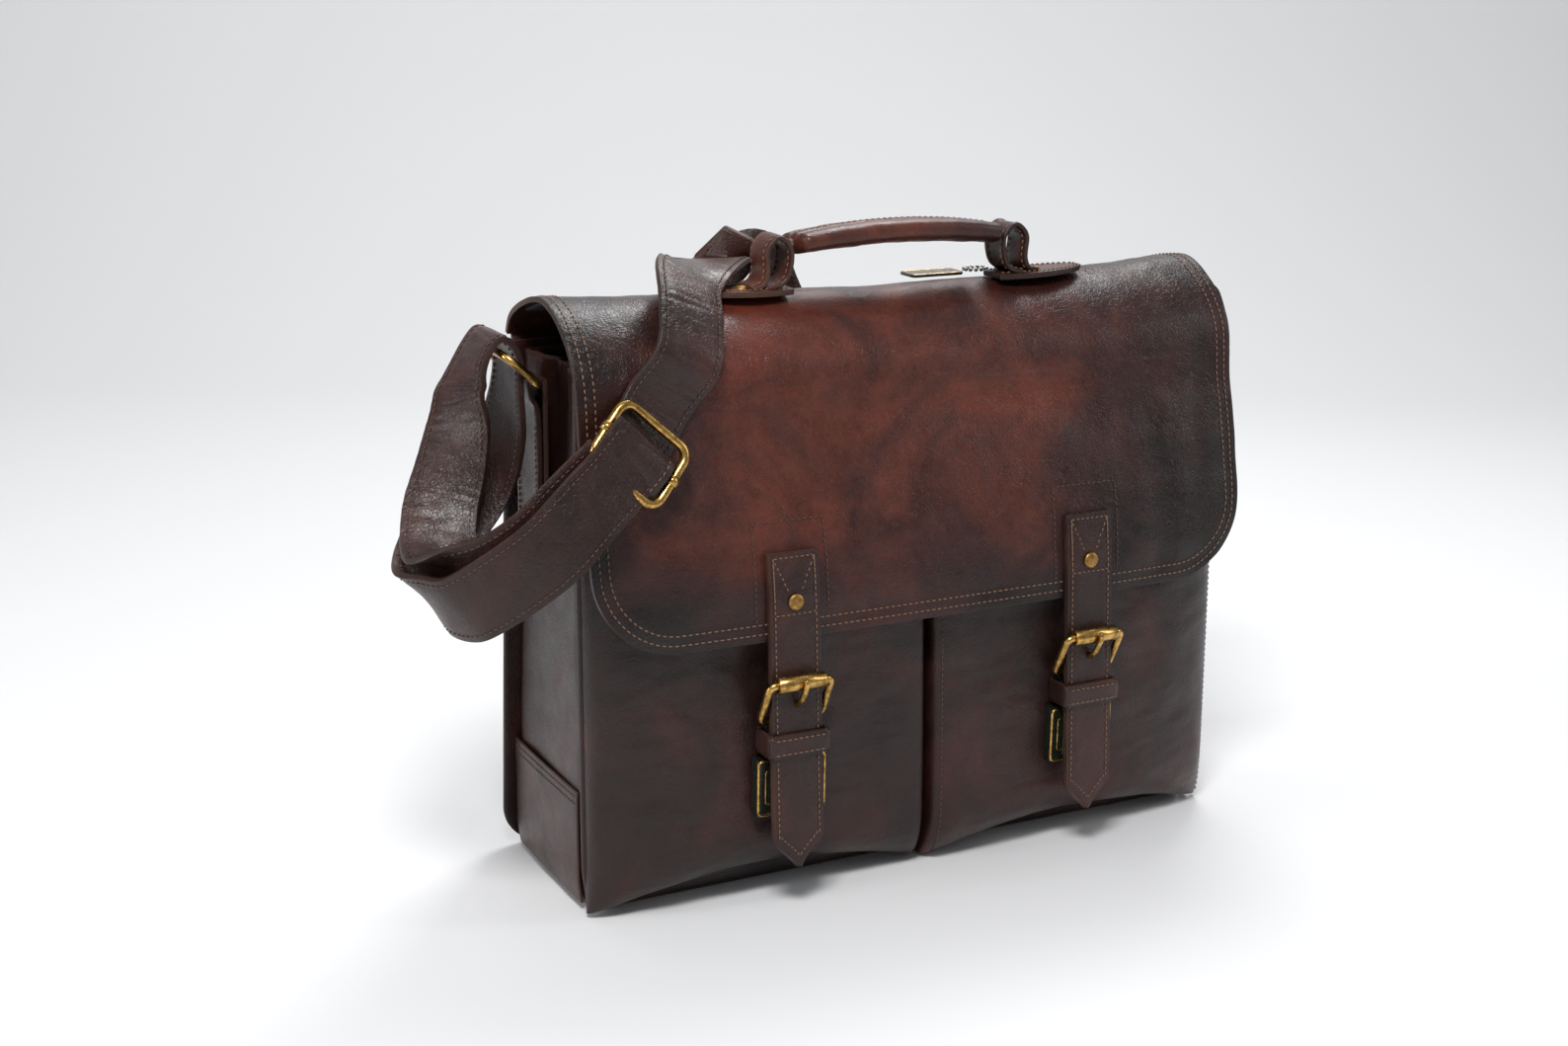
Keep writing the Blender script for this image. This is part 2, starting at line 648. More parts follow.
def lining_floor(u, v):
    return Vector(((u - 0.5) * 0.35, -0.038 + 0.078 * v, 0.0075))


goes([lining_bag, sheet("lining_floor", 20, 8, lining_floor, 0.0008, [cloth], 1.0, 0.0)],
     "bag_body", "lining", material_slot="lining_cloth")


def divider_place(u, v):
    a = math.tau * u
    z = 0.0095 + 0.2515 * v
    thin = 1 - 0.5 * smoothstep(0.94, 1.0, v)
    quilt = 1 - 0.18 * abs(math.sin(z * 52)) ** 8
    x = 0.166 * math.copysign(abs(math.cos(a)) ** 0.3, math.cos(a))
    y = 0.0039 * thin * quilt * math.copysign(abs(math.sin(a)) ** 0.55, math.sin(a))
    return Vector((x, y, z))


work = bmesh.new()
bmesh.ops.create_grid(work, x_segments=96, y_segments=70, size=0.5)
for vert in work.verts:
    vert.co = divider_place(vert.co.x + 0.5, vert.co.y + 0.5)
bmesh.ops.remove_doubles(work, verts=work.verts, dist=0.00001)
bmesh.ops.holes_fill(work, edges=[e for e in work.edges if e.is_boundary], sides=0)
bmesh.ops.recalc_face_normals(work, faces=work.faces)
divider = from_work("divider_pad", work, [cloth])
goes(divider, "bag_body", "divider", material_slot="lining_cloth")
for name, material in (("base_board", fibre), ("clasp_plate_left", dark_enamel),
                       ("clasp_plate_right", dark_enamel), ("clasp_tongue_left", nickel),
                       ("clasp_tongue_right", nickel), ("handle_core", fibre)):
    frame["nodes"][name].data.materials.clear()
    frame["nodes"][name].data.materials.append(material)


# ---- front pockets -----------------------------------------------------------------------------
# Two pouches of soft cowhide, full and rolled under at the bottom, with an open pleat
# between them; each is sewn down at the side seam and along the pleat.
pocket_top = 0.215


def pocket_y(x, z):
    roll = 0.034
    rounded = math.sqrt(max(1 - (1 - min(z / roll, 1.0)) ** 2, 0.0))
    swell = rounded * (1.0 - 0.30 * (z / pocket_top) ** 2)
    inner, outer = 0.003, 0.199
    s = min(max((2 * abs(x) - inner - outer) / (outer - inner), -1.0), 1.0)
    power = 2.5 if s > 0 else 12
    across = max(1 - abs(s) ** power, 0.0) ** (1 / power)
    return front_seam_y(z) - 0.0028 - 0.024 * swell * across


def pocket(side):
    def place(u, v):
        s = -math.cos(math.pi * u) * side
        x = side * (0.101 + 0.098 * s * side)
        z = 0.0026 + 0.2124 * v ** 1.4
        lift = 0.017 * (1 - abs(s) ** 2.2) * (1 - v) ** 3
        z += lift
        y = pocket_y(x, z - lift * 0.6)
        inside = (1 - abs(s) ** 8)
        y += crumple(Vector((x, 2.0, z)), 0.045, 0.0016) * inside
        y += crumple(Vector((x * 0.8, 7.0, z * 2.2)), 0.020, 0.0005) * inside
        return Vector((x, y, z))
    piece = sheet("pocket_leather_%d" % side, 150, 130, place, 0.0022, [body_hide, edge_hide],
                  1.0)
    rows = []
    for share in (0.085, 0.955):
        u = share if side > 0 else 1 - share
        spots = []
        for i in range(3, 99):
            here, up, right = place(u, i / 100), place(u, i / 100 + 0.01), place(u + 0.01, i / 100)
            face = (right - here).cross(up - here).normalized()
            spots.append((here + face * 0.0022, face))
        rows.append(seam("pocket_seam_%d_%d" % (side, share * 100), spots, brown_thread))
    goes([piece] + rows, "bag_body", "pocket_left" if side < 0 else "pocket_right",
         material_slot="body_leather")


pocket(-1)
pocket(1)


# ---- snap plates ---------------------------------------------------------------------------------
# A dark enamelled plate behind each strap tail, with a rolled brass rim and a smaller inner
# bracket, riveted to the pocket.
for word in ("left", "right"):
    low, high = (Vector(corner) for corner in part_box("clasp_plate_" + word))
    middle = Vector(((low.x + high.x) / 2, low.y + 0.0003, (low.z + high.z) / 2))
    half_x, half_z = (high.x - low.x) / 2 - 0.0008, (high.z - low.z) / 2 - 0.0008
    rim = loop_points(middle, Vector((1, 0, 0)), Vector((0, 0, 1)), half_x, half_z, 0.0025)
    bracket = loop_points(middle, Vector((1, 0, 0)), Vector((0, 0, 1)), half_x - 0.0042,
                          half_z - 0.0060, 0.0012)
    goes([tube("clasp_rim_" + word, rim, 0.0017, brass, closed=True, sides=12),
          tube("clasp_bracket_" + word, bracket, 0.0010, brass, closed=True, sides=8)], "bag_body",
         material_slot="aged_brass")


# ---- flap --------------------------------------------------------------------------------------
# One thick piece of mottled hide from the back seam over the top and half way down the front,
# lined with cotton, with two rows of tan stitching round its sides and hem.
flap_half = 0.203
flap_bottom = 0.150
flap_corner = 0.046
crown_y = -0.012
crown_z = height + 0.027
hinge_y, hinge_z = 0.0418, 0.298
shoulder_z = crown_z - 0.060
hang_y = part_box("flap")[0][1] + 0.008


def flap_y(x, z):
    share = max((z - flap_bottom) / (shoulder_z - flap_bottom), 0.0)
    belly = 0.005 * (1 - min(abs(x) / flap_half, 1.0) ** 4) * (1 - share)
    return hang_y + 0.019 * share ** 2 - belly


profile = smooth_path([(0, hinge_y - 0.0040, hinge_z + 0.001), (0, hinge_y - 0.0080, hinge_z + 0.010),
                       (0, hinge_y - 0.0200, crown_z - 0.008), (0, crown_y + 0.012, crown_z - 0.001),
                       (0, crown_y - 0.006, crown_z), (0, crown_y - 0.028, crown_z - 0.012),
                       (0, crown_y - 0.043, crown_z - 0.032),
                       (0, flap_y(flap_half, shoulder_z), shoulder_z)], 8)
profile += [Vector((0, flap_y(flap_half, z), z))
            for z in [shoulder_z + (flap_bottom - shoulder_z) * i / 40 for i in range(1, 41)]]
for _ in range(14):
    profile = ([profile[0]] + [(a + 2 * b + c) / 4 for a, b, c in zip(profile, profile[1:], profile[2:])]
               + [profile[-1]])
run = [0.0]
for low, high in zip(profile, profile[1:]):
    run.append(run[-1] + (high - low).length)
flap_length = run[-1]


def flap_wide(z):
    """Half width of the flap at height z on its front: the hem's corners are round."""
    over_hem = z - flap_bottom
    if over_hem >= flap_corner:
        return flap_half
    drop = flap_corner - over_hem
    return flap_half - flap_corner + math.sqrt(max(flap_corner ** 2 - drop ** 2, 0.0))


def flap_inner(x, v):
    """Inner face: v runs from the hinge over the crown to the hem."""
    goal = min(max(v, 0.0), 1.0) * flap_length
    i = next((k for k, length in enumerate(run) if length > goal), len(run) - 1) - 1
    at = profile[i].lerp(profile[i + 1], (goal - run[i]) / (run[i + 1] - run[i]))
    z = at.z
    down = smoothstep(shoulder_z, flap_bottom, z) if at.y < crown_y - 0.03 else 0.0
    belly = 0.005 * (1 - min(abs(x) / flap_half, 1.0) ** 4) * down
    point = Vector((x, at.y - belly, z))
    high = min(max((z - shoulder_z) / (crown_z - shoulder_z), 0.0), 1.0)
    point.z -= 0.006 * (1 - (x / flap_half) ** 2) * smoothstep(0, 1, high)
    return point


def share_at(z):
    """v of the point at height z on the flap's front."""
    for i in range(len(run) - 1, 0, -1):
        if profile[i - 1].z >= z:
            t = (z - profile[i].z) / (profile[i - 1].z - profile[i].z)
            return (run[i] + (run[i - 1] - run[i]) * t) / flap_length
    return 0.0


def flap_soft(x, v):
    """The leather's own soft hills, and finer rises where it bends down at the right."""
    soft = smoothstep(0.0, 0.12, v) * smoothstep(0.0, 0.05, 1 - v)
    push = crumple(Vector((x, v * 0.4, 1.0)), 0.060, 0.0011) * soft
    push += crumple(Vector((x, v * 0.16, 4.0)), 0.016, 0.00025) * soft
    right = smoothstep(0.06, 0.18, x)
    push += 0.0009 * right * soft * noise.noise(Vector((x * 60, v * 3.0, 2.0)))
    out = Vector((0, -1, 0.3)) if v > 0.5 else Vector((0, -v, 1))
    return out.normalized() * push


def flap_place(u, v):
    v = 1 - (1 - v) * (1 - 0.35 * v * v) if v < 1 else 1.0
    point = flap_inner(0.0, v)
    wide = flap_wide(point.z) if v > 0.5 else flap_half
    x = wide * (1 - 2 * u)
    return flap_inner(x, v) + flap_soft(x, v)


flap = sheet("flap_leather", 250, 240, flap_place, 0.0030, [flap_hide, edge_hide], 1.0, 0.0008)


def flap_outer(x, v, lift=0.0030):
    here, up, right = flap_inner(x, v), flap_inner(x, v + 0.004), flap_inner(x + 0.001, v)
    if v > 0.995:
        up = here * 2 - flap_inner(x, v - 0.004)
    face = (up - here).cross(right - here).normalized()
    return here + flap_soft(x, v) + face * lift, face


def hem_spots(inset):
    """Left side, hem and right side of the flap, inset from its edge."""
    edge = flap_half - inset
    corner = flap_corner - inset
    z_turn = flap_bottom + flap_corner
    v_turn = share_at(z_turn)
    sides = [(edge, 0.06 + (v_turn - 0.06) * i / 110) for i in range(110)]
    bend = [(edge - corner + corner * math.cos(math.radians(90 * i / 40)),
             share_at(z_turn - corner * math.sin(math.radians(90 * i / 40)))) for i in range(41)]
    hem = [((edge - corner) * (1 - 2 * i / 120), bend[-1][1]) for i in range(1, 120)]
    left = [(-x, v) for x, v in sides + bend]
    right = [(x, v) for x, v in bend[::-1] + sides[::-1]]
    return [flap_outer(x, v) for x, v in left + [(-x, v) for x, v in hem] + right]


flap_rows = [seam("flap_seam_%d" % k, hem_spots(inset), tan_thread, 0.0036, 0.00045)
             for k, inset in enumerate((0.0045, 0.0095))]


def flap_liner(u, v):
    v = 0.10 + 0.885 * v
    wide = flap_wide(flap_inner(0.0, v).z) if v > 0.5 else flap_half
    x = (wide - 0.004) * (1 - 2 * u)
    here, up, right = flap_inner(x, v), flap_inner(x, v + 0.004), flap_inner(x + 0.001, v)
    return here + flap_soft(x, v) - (up - here).cross(right - here).normalized() * 0.0004


flap_lining = sheet("flap_liner", 90, 110, flap_liner, 0.0010, [cloth], -1.0, 0.0)
goes([flap] + flap_rows, "flap_body", "flap", material_slot="flap_leather")
goes(flap_lining, "flap_body", "flap_lining", material_slot="lining_cloth")


def yoke_place(u, v):
    z = 0.250 + 0.0445 * v
    return Vector(((flap_half - 0.002) * (1 - 2 * u), back_y(z) + 0.0036 + 0.0003, z))


yoke = sheet("yoke_leather", 90, 12, yoke_place, 0.0028, [flap_hide, edge_hide])
yoke_rows = [seam("yoke_seam_%d" % k, [(yoke_place(i / 100, share) + Vector((0, 0.0028, 0)),
                                        Vector((0, 1, 0.05))) for i in range(2, 99)],
                  tan_thread) for k, share in enumerate((0.08, 0.19, 0.90))]
goes([yoke] + yoke_rows, "bag_body", "flap_yoke", material_slot="flap_leather")


def hinge_place(u, v):
    low = Vector((0, back_y(0.288) + 0.0040, 0.288))
    line = smooth_path([low, (0, back_y(0.295) + 0.0040, 0.295), (0, hinge_y - 0.0030, hinge_z + 0.002),
                        (0, hinge_y - 0.0080, hinge_z + 0.011)], 6)
    step = v * (len(line) - 1)
    i = min(int(step), len(line) - 2)
    at = line[i].lerp(line[i + 1], step - i)
    return Vector(((flap_half - 0.003) * (1 - 2 * u), at.y, at.z))


bends(sheet("hinge_fold", 60, 24, hinge_place, 0.0024, [flap_hide, edge_hide]), "bag_body",
      "flap_body", (0, 0.041, 0.293), (0, 0.039, 0.307), material_slot="flap_leather")


# ---- handle ------------------------------------------------------------------------------------
# A padded strip folded in two lobes and sewn along its ridge. Leather loops hold its ends to
# pointed tabs, which are sewn and riveted on the crown of the flap.
handle_x, handle_y = 0.0, -0.018
span = 0.148
half_grip = 0.063
grip_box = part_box("handle_grip")
grip_bottom = grip_box[0][2]


def crown_top(x):
    return crown_z + 0.003 - 0.006 * (1 - (x / flap_half) ** 2)


def handle_mid(x):
    share = (x - handle_x) / (span / 2)
    return grip_bottom - 0.0022 + 0.0075 + 0.006 * (1 - share * share)


work = bmesh.new()
bmesh.ops.create_grid(work, x_segments=64, y_segments=110, size=0.5)
for vert in work.verts:
    turn = math.tau * (vert.co.x + 0.5)
    s = 2 * vert.co.y
    x = handle_x + s * half_grip
    full = 1 - 0.16 * abs(s) ** 3 - 0.5 * smoothstep(0.965, 1.0, abs(s))
    c, d = math.cos(turn), math.sin(turn)
    groove = 0.34 * math.exp(-((abs(c) - 0.19) / 0.10) ** 2) if d > 0 else 0.0
    wide = 0.0150 * full * math.copysign(abs(c) ** 0.80, c)
    tall = 0.0068 * full * (1 - groove) * math.copysign(abs(d) ** 0.72, d)
    lean = -0.10 * wide
    soft = crumple(Vector((x, turn * 0.006, 9.0)), 0.012, 0.00035)
    vert.co = Vector((x - 0.15 * wide, handle_y + wide * (1 + soft * 20),
                      handle_mid(x) + tall + lean + soft))
bmesh.ops.remove_doubles(work, verts=work.verts, dist=0.00001)
bmesh.ops.holes_fill(work, edges=[e for e in work.edges if e.is_boundary], sides=0)
bmesh.ops.recalc_face_normals(work, faces=work.faces)
grip = from_work("grip_leather", work, [loop_hide])
ridge_line = [handle_x + (half_grip - 0.004) * (i / 40 - 1) for i in range(81)]
ridge_spots = [(Vector((along, handle_y, handle_mid(along)
                        + 0.0064 * (1 - 0.16 * abs((along - handle_x) / half_grip) ** 3))),
                Vector((0, 0, 1))) for along in ridge_line]
goes([grip, seam("grip_seam", ridge_spots, tan_thread, 0.0036, 0.00045)], "handle",
     "handle_grip", material_slot="strap_leather")

for side, word in ((-1, "left"), (1, "right")):
    x = handle_x + side * span / 2
    top = handle_mid(x)
    foot = crown_top(x) + 0.0042
    loop = Band([(x + side * 0.0160, handle_y, foot + 0.0006),
                 (x + side * 0.0095, handle_y, foot + 0.0022),
                 (x + side * 0.0068, handle_y, foot + 0.0085), (x + side * 0.0072, handle_y, top),
                 (x, handle_y, top + 0.0066), (x - side * 0.0072, handle_y, top),
                 (x - side * 0.0062, handle_y, foot + 0.0075),
                 (x - side * 0.0010, handle_y, foot + 0.0016),
                 (x + side * 0.0080, handle_y, foot - 0.0004)], [(0, 1, 0)] * 9, 8)
    piece = strap("loop_leather_" + word, loop, 0.0195, 0.0024, [loop_hide, edge_hide], 0.0002)
    rows = strap_seams("loop_seam_" + word, loop, 0.0195, 0.0024, tan_thread, 0.0026, (1, -1))
    bends([piece] + rows, "flap_body", "handle", (x, handle_y, foot + 0.0035),
          (x, handle_y, foot + 0.0115), "handle_loop_" + word, material_slot="strap_leather")

    def tab_place(u, v, side=side, x=x):
        along = x - side * 0.009 + side * 0.058 * u
        width = 0.026 * math.sqrt(max(math.sin(math.pi * (0.15 + 0.845 * u)), 0))
        off = width * (0.5 - v) * -side
        dome = 0.0003 * math.sin(math.pi * v)
        return Vector((along, handle_y + off, crown_top(along) + 0.0006 + dome))
    tab = sheet("tab_leather_" + word, 70, 24, tab_place, 0.0030, [loop_hide, edge_hide], 1.0)
    spots = []
    for i in range(40):
        spots.append(tab_place(0.02 + 0.93 * i / 40, 0.12))
    for i in range(9):
        spots.append(tab_place(0.955, 0.12 + 0.76 * i / 8))
    for i in range(40):
        spots.append(tab_place(0.95 - 0.93 * i / 40, 0.88))
    row = seam("tab_seam_" + word, [(p + Vector((0, 0, 0.0032)), Vector((0, 0, 1))) for p in spots],
               tan_thread, 0.0032)
    patch_spots = []
    for i in range(81):
        a = math.pi * i / 80 - math.pi / 2
        reach = handle_x + side * (span / 2 + 0.046 + 0.010 * math.cos(a))
        patch_spots.append((reach, handle_y + 0.0165 * math.sin(a)))
    patch = seam("patch_seam_" + word,
                 [(Vector((px, py, crown_top(px) + 0.0002)), Vector((0, 0, 1)))
                  for px, py in patch_spots], tan_thread, 0.0034)
    goes([tab, row, patch], "flap_body", "handle_tab_" + word, material_slot="strap_leather")


# ---- rivets --------------------------------------------------------------------------------------
# Solid domed rivets through tab and strap, the edge of each head sunk a little.
def rivet(name, centre, direction, diameter, rise, material):
    work = bmesh.new()
    r = diameter / 2
    outline = [(0.0, rise), (0.35 * r, 0.96 * rise), (0.66 * r, 0.80 * rise), (0.86 * r, 0.52 * rise),
               (0.97 * r, 0.18 * rise), (r, -0.1 * rise), (r * 0.98, -0.0004)]
    verts = [work.verts.new((a, 0, b)) for a, b in outline]
    edges = [work.edges.new(pair) for pair in zip(verts, verts[1:])]
    bmesh.ops.spin(work, geom=verts + edges, cent=(0, 0, 0), axis=(0, 0, 1), angle=math.tau,
                   steps=32, use_merge=True)
    bmesh.ops.remove_doubles(work, verts=work.verts, dist=0.000001)
    turn = Vector((0, 0, 1)).rotation_difference(Vector(direction)).to_matrix().to_4x4()
    bmesh.ops.transform(work, matrix=Matrix.Translation(Vector(centre)) @ turn, verts=work.verts)
    bmesh.ops.recalc_face_normals(work, faces=work.faces)
    return from_work(name, work, [material])


for word in ("left", "right"):
    low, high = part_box("handle_rivet_" + word)
    middle = [(a + b) / 2 for a, b in zip(low, high)]
    goes(rivet("handle_stud_" + word, (middle[0], middle[1], low[2]), (0, 0, 1), 0.0090, 0.0014,
               matt_brass),
         "flap_body", "handle_rivet_" + word, material_slot="aged_brass")


# ---- closure straps -----------------------------------------------------------------------------
# Bridle leather straps riveted and box-stitched to the flap. The buckle is held behind by a
# thin folded chape that carries a snap, the strap runs on to a pointed tail.
bend_z, tail_z, strap_top = 0.160, 0.026, 0.197
closure_x = 0.093
stud_z = 0.171
keeper_z = 0.0945
closure_wide, closure_thick = 0.030, 0.0032


def closure_y(x, z):
    top = flap_y(closure_x, max(z, bend_z)) - 0.0030 - 0.0006 - 0.0016
    drop = max(bend_z - z, 0.0) / (bend_z - tail_z)
    return top - 0.009 * drop


def rod_ring(name, x, half, outer, inner, centre, material):
    """A short tube lying along X."""
    work = bmesh.new()
    outline = [(-half, inner), (-half, outer - 0.0005), (-half + 0.0005, outer), (half - 0.0005, outer),
               (half, outer - 0.0005), (half, inner)]
    verts = [work.verts.new((a, 0, b)) for a, b in outline]
    edges = [work.edges.new(pair) for pair in zip(verts, verts[1:] + verts[:1])]
    bmesh.ops.spin(work, geom=verts + edges, cent=(0, 0, 0), axis=(1, 0, 0), angle=math.tau,
                   steps=40, use_merge=True)
    bmesh.ops.remove_doubles(work, verts=work.verts, dist=0.000001)
    bmesh.ops.translate(work, verts=work.verts, vec=centre)
    bmesh.ops.recalc_face_normals(work, faces=work.faces)
    return from_work(name, work, [material])


joint_at = {joint["name"]: Vector(joint["pos_m"]) for joint in frame["record"]["behaviour"]["joints"]}
for side, word in ((-1, "left"), (1, "right")):
    x = side * closure_x
    closure = "closure_" + word
    rows_z = [strap_top, 0.185, stud_z, bend_z, 0.145, 0.129, 0.112, 0.095, 0.075, 0.055, 0.038, tail_z]
    band = Band([(x, closure_y(x, z), z) for z in rows_z], [(1, 0, 0)] * len(rows_z), 8)
    leather_strap = strap("strap_leather_" + word, band, closure_wide, closure_thick,
                          [strap_hide, edge_hide], 0.00025, tip=0.019)
    top_share = (strap_top - 0.194) / (strap_top - tail_z)
    rows = strap_seams("strap_seam_" + word, band, closure_wide, closure_thick, tan_thread,
                       0.0030, (1,), (top_share, 0.885))

    def on_strap(off, z, band=band):
        share = 0.0
        best = 9.0
        for i, p in enumerate(band.line):
            if abs(p.z - z) < best:
                best, share = abs(p.z - z), i / (len(band.line) - 1)
        top = band.at(share, off, 0.0016)
        base = band.at(share, off, 0.0)
        return top, (top - base).normalized()
    square = [(-0.012, 0.1940), (0.012, 0.1940), (0.012, 0.1640), (-0.012, 0.1640), (-0.012, 0.1940),
              (-0.0035, 0.1762)]
    cross = [(0.012, 0.1940), (0.0035, 0.1762)]
    for k, corners in enumerate((square, cross)):
        spots = []
        for (a, za), (b, zb) in zip(corners, corners[1:]):
            spots += [on_strap(a + (b - a) * i / 8, za + (zb - za) * i / 8) for i in range(8)]
        spots.append(on_strap(*corners[-1]))
        rows.append(seam("strap_box_%s_%d" % (word, k), spots, tan_thread, 0.0031))
    tip_spots = [on_strap(-0.0115 * (1 - i / 12), 0.0445 - 0.0125 * i / 12) for i in range(12)]
    tip_spots += [on_strap(0.0115 * i / 12, 0.0320 + 0.0125 * i / 12) for i in range(13)]
    rows.append(seam("strap_tip_seam_" + word, tip_spots, tan_thread, 0.0031))
    bends([leather_strap] + rows, "flap_body", closure, (x, closure_y(x, 0.165), 0.165),
          (x, closure_y(x, 0.154), 0.154), "closure_strap_" + word, "closure_anchor_" + word,
          material_slot="strap_leather")
    low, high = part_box("strap_rivet_" + word)
    goes(rivet("strap_stud_" + word, (x, high[1] - 0.0006, stud_z), (0, -1, 0.05), 0.0092, 0.0015,
               matt_brass),
         "flap_body", "strap_rivet_" + word, material_slot="aged_brass")

    holes = []
    for z in (0.1035, 0.0840, 0.0560):
        spot, face = on_strap(0.0, z)
        holes.append(rivet("punched_hole_%s_%d" % (word, z * 1e4), spot - face * 0.0002, face, 0.0036,
                           0.0004, hole_black))
    goes(holes, closure)

    roller_at, bar_at = joint_at["roller_%s_spin" % word], joint_at["prong_%s_lift" % word]
    up = (roller_at - bar_at)
    middle = (roller_at + bar_at) / 2
    frame_loop = loop_points(middle, Vector((1, 0, 0)), up.normalized(), 0.0182, up.length / 2, 0.0038)
    goes(tube("buckle_wire_" + word, frame_loop, 0.0044, brass, closed=True, sides=18), closure,
         "buckle_frame_" + word, material_slot="aged_brass")
    goes(rod_ring("buckle_roll_" + word, x, 0.0140, 0.0043, 0.0025, roller_at, brass),
         "roller_" + word, "buckle_roller_" + word, material_slot="aged_brass")
    sleeve = rod_ring("prong_eye_" + word, x, 0.0030, 0.0040, 0.0025, bar_at, brass)
    front = roller_at.y - 0.0043 - 0.0017 - 0.0003
    mid_y = closure_y(x, 0.114)
    pin = tube("prong_pin_" + word, smooth_path([
        (x, bar_at.y - 0.0026, bar_at.z + 0.0026), (x, mid_y + 0.001, bar_at.z + 0.0072),
        (x, mid_y - 0.006, roller_at.z - 0.0100), (x, front, roller_at.z - 0.001),
        (x, front - 0.0002, roller_at.z + 0.0032)], 8), 0.0034, brass, sides=14,
        taper=lambda t: 1.05 - 0.35 * t ** 3)
    goes([sleeve, pin], "prong_" + word, "buckle_prong_" + word, material_slot="aged_brass")

    rest = closure_y(x, 0.070) + 0.0016 + 0.0006 + 0.0008
    r = 0.0022 + 0.0003 + 0.0008
    turn = [(x, bar_at.y - r * math.cos(a), bar_at.z + r * math.sin(a))
            for a in (0, math.pi / 4, math.pi / 2, math.pi * 3 / 4, math.pi)]
    chape_band = Band([(x, bar_at.y - r, bar_at.z - 0.0035)] + turn
                      + [(x, bar_at.y + r * 0.9, bar_at.z - 0.006), (x, rest + 0.001, 0.084),
                         (x, rest, 0.074), (x, rest, 0.058)], [(1, 0, 0)] * 10, 6)
    halves = []
    for part in (-1, 1):
        shifted = Band([p + Vector((part * 0.0085, 0, 0)) for p in chape_band.line],
                       [(1, 0, 0)] * len(chape_band.line), 1)
        halves.append(strap("chape_%s_%d" % (word, part), shifted, 0.0095, 0.0015,
                            [strap_hide, edge_hide], 0.0001))
    back_band = Band([(x, rest + 0.0010, 0.086), (x, rest, 0.074), (x, rest, 0.058)],
                     [(1, 0, 0)] * 3, 8)
    halves.append(strap("chape_%s_0" % word, back_band, 0.026, 0.0015, [strap_hide, edge_hide],
                        0.0001))
    goes(halves, closure, "buckle_chape_" + word, material_slot="strap_leather")

    low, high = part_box("keeper_loop_" + word)
    keep = [Vector((x + a, (low[1] + high[1]) / 2 + b, keeper_z)) for a, b in
            rounded_loop((high[0] - low[0]) / 2 - 0.0011, (high[1] - low[1]) / 2 - 0.0011, 0.0022, 5)]
    keep_band = Band(keep + [keep[0]], [(0, 0, 1)] * (len(keep) + 1), 2)
    keeper = strap("keeper_" + word, keep_band, 0.0125, 0.0020, [strap_hide, edge_hide], 0.0001)
    keep_rows = []
    for off in (-0.0040, 0.0040):
        front_y = low[1] - 0.0002
        keep_rows.append(seam("keeper_seam_%s_%d" % (word, off * 1e4),
                              [(Vector((x - 0.015 + 0.030 * i / 20, front_y, keeper_z + off)),
                                Vector((0, -1, 0))) for i in range(21)], tan_thread, 0.0031))
    goes([keeper] + keep_rows, closure, "keeper_loop_" + word, material_slot="strap_leather")

    # sewn outline of the reinforcing patch on the inside of the flap
    spots = []
    outline = [(-0.021, 0.160), (-0.021, 0.2115), (0.021, 0.2115), (0.021, 0.160)]
    for (a, za), (b, zb) in zip(outline, outline[1:]):
        for i in range(16):
            px, pz = x + a + (b - a) * i / 16, za + (zb - za) * i / 16
            spots.append(flap_outer(px, share_at(pz)))
    goes(seam("patch_outline_" + word, spots, brown_thread, 0.0034), "flap_body",
         material_slot="flap_leather")


# ---- side rings and their tabs -------------------------------------------------------------------
# Cast brass rings turned up by the strap, each held in a folded and riveted tab on the gusset.
for side, word in ((-1, "left"), (1, "right")):
    bar = joint_at["ring_%s_swing" % word]
    out = Vector((side * 0.74, 0, 0.67)).normalized()
    ring = loop_points(bar + out * 0.0135, Vector((0, 1, 0)), out, 0.0221, 0.0135, 0.008)
    goes(tube("ring_wire_" + word, ring, 0.0042, brass, closed=True, sides=18), "ring_" + word,
         "side_ring_" + word, material_slot="aged_brass")
    r = 0.0021 + 0.0003 + 0.0014
    turn = [(bar.x - side * r * math.cos(a), bar.y, bar.z + r * math.sin(a))
            for a in (0, math.pi / 4, math.pi / 2, math.pi * 3 / 4, math.pi)]
    inner = bar.x - side * r
    layer = side * 0.0037
    tab_band = Band([(inner, bar.y, 0.195), (inner, bar.y, bar.z - 0.020)] + turn
                    + [(bar.x + side * r * 0.8, bar.y, bar.z - 0.007),
                       (inner + layer, bar.y, bar.z - 0.020), (inner + layer, bar.y, 0.195)],
                    [(0, 1, 0)] * 10, 8)
    tab = strap("ring_tab_leather_" + word, tab_band, 0.030, 0.0025, [strap_hide, edge_hide], 0.0002)
    rows = []
    for edge in (-1, 1):
        rows.append(seam("ring_tab_seam_%s_%d" % (word, edge),
                         [(Vector((inner + layer + side * 0.00130, bar.y + edge * 0.0122,
                                   0.197 + 0.062 * i / 30)),
                           Vector((side, 0, 0))) for i in range(31)], tan_thread))
    goes([tab] + rows, "bag_body", "ring_tab_" + word, material_slot="strap_leather")


# ---- shoulder strap -------------------------------------------------------------------------------
# One long strap of two layers sewn edge to edge. It is held by the right ring, lies behind the
# bag, comes over the crown and down the flap, and runs through slide and left ring and back.
width, thick = 0.038, 0.0032
side_x, top_z = -0.200, height
drape_lift = 0.003 + thick / 2 + 0.0012


def on_front(x, z, lift):
    return (x, flap_y(x, z) - lift, z)


